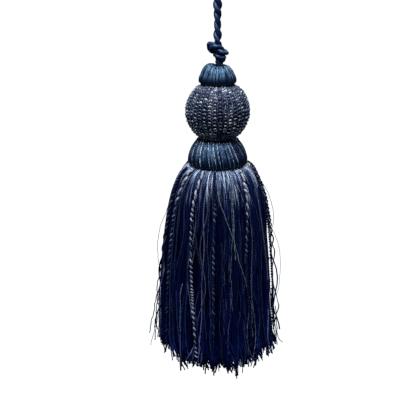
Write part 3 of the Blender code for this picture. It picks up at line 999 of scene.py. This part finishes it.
def make_ruff(name, strands, core, finishes, dark):
    """A wound bun: strands of floss over a packed core."""
    add_piece(strand_mesh(f"{name}_floss", strands), finishes, "ruff_floss", name)
    add_piece(turned_mesh(f"{name}_packing", core, 48, 0.05), [dark], "ruff_floss")


def make_top_ruff(floss, dark):
    """The bun over the ball: floss from the dimple over its crown and down under its edge."""
    lie = dict(bunches=21, bunched=0.60, shaded=0.62, least=0.20, hump=1.1)
    strands = [
        wound_strands(TOP_RUFF, 100, 31, slant=-2.0, lift=-0.45, half=0.36, **lie),
        wound_strands(TOP_RUFF, 46, 32, slant=5.0, lift=-0.22, half=0.15, **lie),
    ]
    make_ruff("top_ruff", strands, TOP_RUFF_CORE, [floss], dark)


def make_neck_ruff(floss, speckled, dark):
    """The larger bun under the ball, with a few speckled silver threads wound in."""
    behind = range(96, 276, 9)
    apart = np.random.default_rng(43).uniform(-3.0, 3.0, len(behind))
    lie = dict(bunches=29, shaded=0.47)
    strands = [
        wound_strands(NECK_RUFF, 158, 41, slant=11.0, lift=-0.45, half=0.36, bunched=0.30, **lie),
        wound_strands(NECK_RUFF, 110, 42, slant=14.0, lift=-0.20, half=0.15, bunched=0.20, **lie),
        speckled_strands(NECK_RUFF, [*SPECKLED, *(np.array(behind) + apart)], 44),
    ]
    make_ruff("neck_ruff", strands, NECK_RUFF_CORE, [floss, speckled], dark)


# ---- ball

def on_ball(turn, tilt, reach):
    """Points over the ball from azimuth, angle from the pole in radians, and distance out in millimetres."""
    upright = np.where(np.cos(tilt) > 0.0, BALL_TOP / BALL_R, 1.0)
    return at(turn, reach * np.sin(tilt), reach * np.cos(tilt) * upright)


def ball_stitches():
    """Loops one over another in upright rows, each dipping under the one above."""
    chance = np.random.default_rng(51)
    stitch = smooth_line([*STITCH_LEG, *((-x, up, out) for x, up, out in reversed(STITCH_LEG))], 0.28)
    float_over = evenly(smooth_line(FLOAT, 0.2), 0.1)
    float_over = float_over[np.linspace(0, len(float_over) - 1, len(stitch)).round().astype(int)]
    crown = 1.0 - np.abs(np.linspace(-1.0, 1.0, len(stitch))) ** 1.3
    lines, wide, tone = [], [], []
    for row in range(BALL_ROWS):
        step = np.degrees(STITCH_PITCH * chance.uniform(0.94, 1.06) / BALL_R)
        polar = STITCHED_FROM + chance.uniform(0.0, step)
        row_tone = chance.uniform(0.0, 0.80)
        row_wide = chance.uniform(0.80, 1.04)
        row_wave = chance.uniform(0.0, tau)
        while polar < STITCHED_TO:
            ring = BALL_R * sin(radians(polar))
            spacing = tau * ring / BALL_ROWS
            x, y, z = (float_over if chance.random() < 0.035 else stitch).T
            lean = chance.normal(0.0, 0.20)
            aside = x * spacing * row_wide * chance.uniform(0.9, 1.1) + y * lean + chance.normal(0.0, 0.08)
            up = y * chance.uniform(0.75, 1.25)
            out = z + chance.normal(0.0, 0.12)
            turn = 360.0 * (row + 0.5) / BALL_ROWS + np.degrees(aside / ring)
            tilt = np.radians(polar - np.degrees(up / BALL_R))
            lines.append(on_ball(turn, tilt, BALL_R - STITCH_SUNK + out))
            wide.append((0.24 + 0.20 * crown) * chance.uniform(0.80, 1.15))
            glint = 0.35 if chance.random() < 0.04 + 0.10 * (polar < 62.0) else 0.0
            band = 0.15 * sin(polar / 10.0 + row_wave) - 0.05
            # Painted light on the ball's lower half, as if thrown up from below.
            lighter = np.interp(polar, *BALL_PAINTED_BOUNCE)
            shade = 0.50 * row_tone + 0.50 * chance.random() + band + glint + lighter
            # Painted light and shade: lighter at the crown of each stitch, darker down its legs.
            tone.append(np.clip(shade + 0.40 * crown - 0.22, 0.0, 1.0))
            polar += step * chance.uniform(0.75, 1.25)
    lines, wide, tone = np.array(lines), np.array(wide), np.array(tone)
    return Strands(lines, wide, wide * 0.95, 5, unit(lines - BALL_MIDDLE), tone)


def ball_ladders():
    """The yarn that runs from loop to loop between the rows, lower than their crests."""
    chance = np.random.default_rng(52)
    each = (BALL_ROWS, 1)
    polar = np.linspace(STITCHED_FROM, STITCHED_TO, 90)
    wave = chance.uniform(0.0, tau, each)
    aside = 0.10 * np.sin(polar * 1.05 + wave) / (BALL_R * np.sin(np.radians(polar)))
    turn = 360.0 * np.arange(BALL_ROWS)[:, None] / BALL_ROWS + np.degrees(aside)
    reach = BALL_R - LADDER_SUNK + 0.14 * np.cos(polar * 1.05 + wave) + chance.normal(0.0, 0.08, each)
    lines = on_ball(turn, np.radians(np.broadcast_to(polar, turn.shape)), reach)
    blotch = np.sin(polar / 9.0 + wave * 3.0) + np.sin(polar / 3.7 + wave * 5.0)
    lighter = np.where(chance.random(each) < 0.4, 0.5, 0.0)
    tone = np.clip(0.25 * blotch + lighter, 0.0, 1.0)
    return Strands(lines, 0.24, 0.24, 5, unit(lines - BALL_MIDDLE), tone)


def make_ball(yarn, dark):
    """The ball: upright rows of looped stitches over its wound ground."""
    add_piece(strand_mesh("ball_stitches", [ball_stitches(), ball_ladders()]), [yarn], "ball_chain", "ball")
    outline = []
    for number in range(25):
        tilt = radians(7.5 * number)
        upright = BALL_TOP / BALL_R if number < 12 else 1.0
        outline.append((BALL_GROUND_R * cos(tilt) * upright, BALL_GROUND_R * sin(tilt)))
    add_piece(turned_mesh("ball_ground", outline, 4 * BALL_ROWS, 0.12), [dark], "ball_chain")


# ---- skirt

Tufts = namedtuple("Tufts", "middles widths tips leans depths waves paces sways shades")


def tuft_layout(seed, count):
    """The tufts that the skirt falls into: where each one lies, how it waves, and how long it is."""
    chance = np.random.default_rng(seed)
    widths = chance.uniform(0.55, 1.45, count)
    widths *= 360.0 / widths.sum()
    return Tufts(
        middles=np.cumsum(widths) - widths / 2,
        widths=widths,
        tips=TUFT_TIP + chance.uniform(-1.8, 1.8, count),
        leans=chance.normal(0.0, 1.5, count),
        depths=chance.uniform(0.0, 1.8, count),
        waves=chance.uniform(0.0, tau, (count, 2)),
        paces=chance.uniform(0.7, 2.0, (count, 2)),
        sways=chance.normal(0.0, 1.0, (count, 2)) * (1.5, 0.8),
        shades=chance.uniform(0.80, 1.14, count),
    )


def hangs_in(azimuth, height):
    """How far in the skirt hangs at azimuths and heights."""
    aside = np.minimum(np.abs(facing(azimuth - HOLLOW_AZIMUTH)), HOLLOW_REACH)
    return by_height(HOLLOW, height) * (0.5 + 0.5 * np.cos(pi * aside / HOLLOW_REACH))


def hem_cut(azimuth):
    """How much shorter the skirt is cut at azimuths."""
    return np.interp(facing(azimuth), *np.transpose(HEM_CUT))


def shared(chance, spread, count):
    """Chance numbers that the threads of a finger have in common."""
    return np.repeat(chance.normal(0.0, spread, count // FINGER + 1), FINGER)[:count]


def skirt_threads(count, stations, seed, levels, deeper, half, sides, tufts, shorter, palest):
    """Threads from under the neck ruff, over the shoulder and down into the tufts, in levels."""
    chance = np.random.default_rng(seed)
    number = np.arange(count)
    level = (number % levels + chance.uniform(-0.25, 0.25, count))[:, None]
    start = 360.0 * (number + chance.uniform(-0.9, 0.9, count)) / count
    own_tuft = np.abs(facing(start[:, None] - tufts.middles)).argmin(axis=1)
    tufts = Tufts(*(values[own_tuft] for values in tufts))
    aside = facing(start - tufts.middles)
    edge = np.clip(np.abs(aside) / (tufts.widths / 2), 0.0, 1.3)
    place = number % FINGER - (FINGER - 1) / 2
    tip = tufts.tips + 3.0 * edge ** 1.5 + shorter + shared(chance, 1.6, count)
    tip += hem_cut(start)
    tip += 0.35 * place ** 2 + chance.exponential(0.8, count) - 1.0
    tip -= np.where(np.abs(shared(chance, 1.0, count)) > 1.35, 2.0, 0.0)
    tip -= np.where(chance.random(count) < 0.06, 2.6, 0.0)
    outline = evenly(smooth_line(SKIRT, 0.5), 0.2)
    along = lengths_along(outline)
    share = np.linspace(0.0, 1.0, stations)
    travel = share * np.interp(-tip, -outline[:, 0], along)[:, None]
    height, radius, down, out = outline_at(outline, along, travel)
    fall = rise(travel, 6.0, 80.0)
    ends = rise(share, 0.925, 0.075) ** 1.5
    own = chance.normal(0.0, 1.0, (count, 2)) * (0.55, 0.30)
    own_wave = chance.uniform(0.0, tau, (count, 2))
    own_pace = chance.uniform(0.8, 4.0, (count, 2))
    sway = np.zeros(travel.shape)
    for wave in ([0], [1]):
        turn = tufts.waves[:, wave] + tau * tufts.paces[:, wave] * share
        sway += tufts.sways[:, wave] * np.sin(turn) * fall ** 0.8
        sway += own[:, wave] * np.sin(own_wave[:, wave] + tau * own_pace[:, wave] * share)
    sway *= rise(travel, 0.0, 5.0)
    splay = (shared(chance, 2.3, count) + chance.normal(0.0, 0.5, count))[:, None] * ends
    gather = 1.0 - 0.58 * fall ** 0.8
    bunched = (360.0 * place / count)[:, None] * gather * 0.75 * ends
    lean = (tufts.leans + chance.normal(0.0, 1.8, count))[:, None] * fall
    azimuth = tufts.middles[:, None] + aside[:, None] * gather - bunched + lean
    azimuth += np.degrees((sway + splay) / radius)
    tucked = 0.62 * level * (1.0 - 0.35 * fall) + deeper
    valley = (1.9 * edge ** 2 + tufts.depths)[:, None] * fall ** 0.8
    over = np.where(chance.random((count, 1)) < 0.09, 1.1, 0.0)
    over = over * np.sin(pi * np.clip(share * 1.3 - 0.15, 0.0, 1.0))
    lift = np.abs(chance.normal(0.0, 0.4, (count, 1))) * np.sin(pi * share) * fall + over
    flare = (shared(chance, 1.0, count)[:, None] + 0.6) * ends
    inward = tucked + valley - 0.10 - lift - flare + hangs_in(azimuth, height)
    lines = at(azimuth, radius + down * inward, height - out * inward)
    wide = half * chance.uniform(0.80, 1.20, (count, 1))
    # Painted shade: threads darker towards the edges of their tuft, in the valleys between tufts.
    tone = palest * tufts.shades * chance.random(count) ** 0.9 * (1.0 - 0.25 * edge ** 2)
    return Strands(lines, wide, wide * 0.95, sides, round_axis(azimuth), tone)


def inner_threads(count, seed):
    """The cut ends that fill the skirt, seen from below and between the tufts."""
    chance = np.random.default_rng(seed)
    radius = INSIDE_R * np.sqrt(chance.uniform(0.01, 1.0, count))
    azimuth = chance.uniform(0.0, 360.0, count)
    share = np.linspace(0.0, 1.0, 6)
    tip = INSIDE_TIP - 1.2 * (radius / INSIDE_R) ** 2 + chance.normal(0.0, 0.9, count)
    tip += np.clip(hem_cut(azimuth), 0.0, 9.0) * radius / INSIDE_R
    height = INSIDE_TOP + (tip[:, None] - INSIDE_TOP) * share
    turn = azimuth[:, None] + chance.normal(0.0, 1.5, (count, 1)) * share
    spread = radius[:, None] * (1.0 + 0.06 * share) + chance.normal(0.0, 0.3, (count, 1)) * share
    spread -= hangs_in(turn, height) * radius[:, None] / INSIDE_R
    tone = chance.uniform(0.0, 0.9, count)
    return Strands(at(turn, spread, height), 0.28, 0.28, 3, round_axis(turn), tone)


def pale_threads():
    """Single paler threads that lie over the navy ones."""
    outline = smooth_line(SKIRT, 0.5)
    strands = []
    for number, (points, half, tone, sunk) in enumerate(PALE_THREADS):
        turn, height = smooth_line(points, 1.0).T
        radius = by_height(outline, height) + 0.80 - hangs_in(turn, height)
        stray = 0.3 * np.sin(height / 2.6 + number) + 0.2 * np.sin(height / 1.1)
        buried = sunk * np.exp((height - height[0]) / 3.0)
        line = at(turn + stray, radius - buried + 0.15 * np.sin(height / 3.0 + number), height)
        strands.append(Strands(line[None], half, half, 5, round_axis(turn), tone))
    return strands


def stray_threads():
    """Single threads and fine hairs that stand off the skirt."""
    outline = smooth_line(SKIRT, 0.5)
    strands = []
    for number, (half, points) in enumerate(FLYAWAYS):
        turn, height, out = smooth_line(points, 0.8).T
        kink = 0.8 * half * np.sin(height / 1.7 + number) + 0.5 * half * np.sin(height / 0.7)
        line = at(turn + kink, by_height(outline, height) + out + kink, height)
        strands.append(Strands(line[None], half, half, 5, round_axis(turn), 0.5 + 0.02 * number))
    return strands


def make_skirt(thread, dull, pale, dark):
    """The cut skirt: threads in three depths over a dark packed middle."""
    outer = skirt_threads(
        540, 30, seed=64, levels=3, deeper=0.0, half=0.31, sides=5,
        tufts=tuft_layout(60, 46), shorter=0.0, palest=1.03,
    )
    # The under threads are kept darker by palest=0.45: painted shade for their depth.
    under = skirt_threads(
        520, 24, seed=62, levels=2, deeper=1.9, half=0.33, sides=4,
        tufts=tuft_layout(64, 61), shorter=1.3, palest=0.45,
    )
    for name, strands, finish, *nodes in (
        ("outer", [outer], thread, "skirt"),
        ("under", [under], thread),
        ("inner", [inner_threads(2300, 63)], dull),
        ("pale", pale_threads(), pale),
        ("stray", stray_threads(), dull),
    ):
        add_piece(strand_mesh(f"skirt_threads_{name}", strands), [finish], "skirt_thread", *nodes)
    add_piece(turned_mesh("skirt_packing", SKIRT_CORE, 72, 0.2), [dark], "skirt_thread")


# ---- making

make_camera()
make_lights(make_floor())
make_world()
bpy.context.scene.view_settings.view_transform = "Standard"
bpy.context.scene.cycles.use_denoising = False

satin = navy_satin()
thread = skirt_thread("navy_thread", 27.0)
# The same thread without the painted sheen, for the inner and stray threads.
dull_thread = skirt_thread("dull_navy_thread", 0.0)
teal_floss = ruff_floss("teal_floss", (0.30, 0.64, 1.0), 0.80)
navy_floss = ruff_floss("navy_floss", (0.26, 0.50, 1.0), 0.44)
dark = packing()
make_hanging_cord(satin)
make_hanging_loop(satin)
make_fringe_cords([silver_ply(), navy_ply()])
make_top_ruff(teal_floss, dark)
make_neck_ruff(navy_floss, speckled_thread(), dark)
make_ball(chain_yarn(), dark)
make_skirt(thread, dull_thread, pale_thread(), dark)
